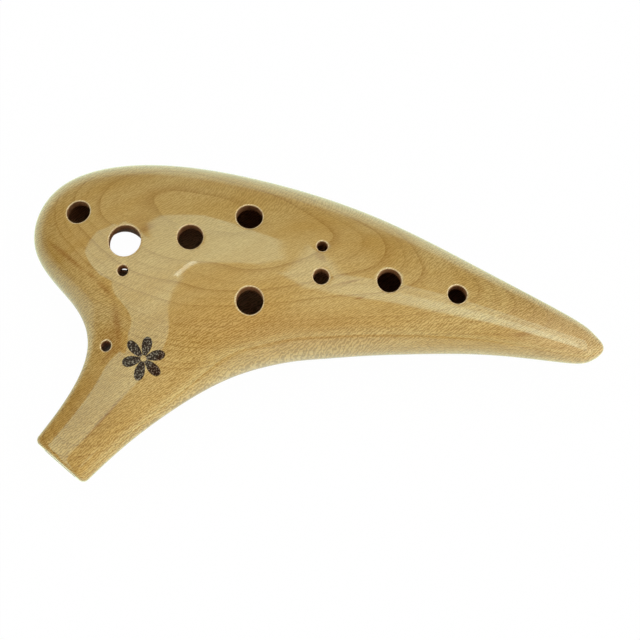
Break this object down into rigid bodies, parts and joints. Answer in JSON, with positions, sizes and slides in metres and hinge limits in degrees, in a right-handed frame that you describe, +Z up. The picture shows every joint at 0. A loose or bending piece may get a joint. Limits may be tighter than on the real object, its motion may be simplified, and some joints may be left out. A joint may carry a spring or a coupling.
{
  "type": "ocarina",
  "caption": "Carved, lacquered wooden vessel flute with a side mouthpiece, windway and window beneath, finger holes on top, thumb holes under, and a strap hole.",
  "frame": {"origin": "under the middle of the outline, on the plane that the belly rests on", "axes": "+X from the round end to the tail, +Y away from the player's side, +Z up out of the finger holes"},
  "size_m": [0.175, 0.0988, 0.0448],
  "materials": {
    "shell_wood": "clear gloss lacquer over fine straight grain",
    "block_wood": "bare, finely cut, with end grain at the mouth",
    "dowel_wood": "bare turned dowel"
  },
  "bodies": {
    "root": {"front_shell": "shell_wood", "back_shell": "shell_wood", "fipple_block": "block_wood", "neck_dowel": "dowel_wood", "tail_dowel": "dowel_wood"}
  },
  "joints": []
}
